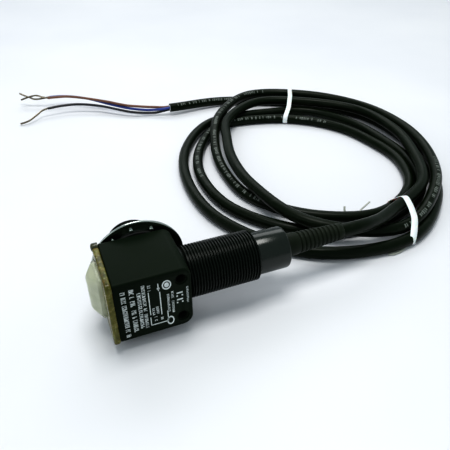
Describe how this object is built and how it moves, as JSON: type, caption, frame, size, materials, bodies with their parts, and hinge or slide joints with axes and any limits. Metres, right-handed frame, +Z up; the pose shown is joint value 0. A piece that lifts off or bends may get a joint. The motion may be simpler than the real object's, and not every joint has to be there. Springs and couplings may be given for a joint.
{
  "type": "photoelectric sensor",
  "caption": "Right-angle photoelectric sensor with a box head, threaded nose and base barrel, clear indicator dome and a coiled cable ending in bare wires.",
  "frame": {"origin": "on the table, under the middle of the sensor's box without the free cable", "axes": "+X along the base barrel towards the cable, +Y along the light beam out of the nose, +Z up"},
  "size_m": [0.2052, 0.2223, 0.0324],
  "materials": {
    "housing": "matte, finely grained",
    "thread": "satin",
    "gasket": "matte",
    "ring": "nickel plated",
    "window": "polished",
    "holder": "matte",
    "lens": "polished",
    "lamp": "clear resin",
    "chip": "moulded",
    "board": "lacquered",
    "parts": "ceramic",
    "amber": "mottled translucent",
    "dome": "clear moulded",
    "pins": "bright",
    "collar": "satin",
    "boot": "satin",
    "clamp": "satin",
    "leads": "satin",
    "cable": "satin",
    "tie": "satin",
    "brown": "satin",
    "blue": "satin",
    "black": "satin",
    "tinned": "tinned strands"
  },
  "bodies": {
    "root": {"head_shell": "housing", "base_barrel": "thread", "nose_barrel": "thread", "front_window": "window", "lens_holder": "holder", "emitter_lens": "lens", "receiver_lens": "lens", "emitter_led": "lamp", "receiver_diode": "chip", "main_board": "board", "control_chip": "chip", "board_parts": "parts", "led_board": "board", "status_leds": "lamp", "indicator_frame": "amber", "indicator_dome": "dome", "cap_seal": "gasket", "board_pins": "pins", "power_board": "board", "output_chip": "chip", "end_collar": "collar", "strain_relief": "boot", "cable_clamp": "clamp", "inner_leads": "leads", "cable_entry": "cable", "cable_lead": "cable", "cable_coil": "cable", "cable_tail": "cable", "far_tie": "tie", "near_tie": "tie", "brown_wire": "brown", "blue_wire": "blue", "black_wire": "black", "brown_tip": "tinned", "blue_tip": "tinned", "black_tip": "tinned"},
    "gasket": {"ring_gasket": "gasket"},
    "ring": {"clamp_ring": "ring"}
  },
  "joints": [
    {"name": "gasket_slide", "type": "slide", "parent": "root", "child": "gasket", "axis": [0, 1, 0], "range_m": [0, 0.008]},
    {"name": "ring_turn", "type": "hinge", "parent": "gasket", "child": "ring", "pos_m": [-0.0275, 0.0061, 0.0162], "axis": [0, 1, 0], "range_deg": [0, 2880]}
  ],
  "couplings": [
    {"joint": "gasket_slide", "follows": "ring_turn", "m_per_rad": 0.00015915}
  ]
}
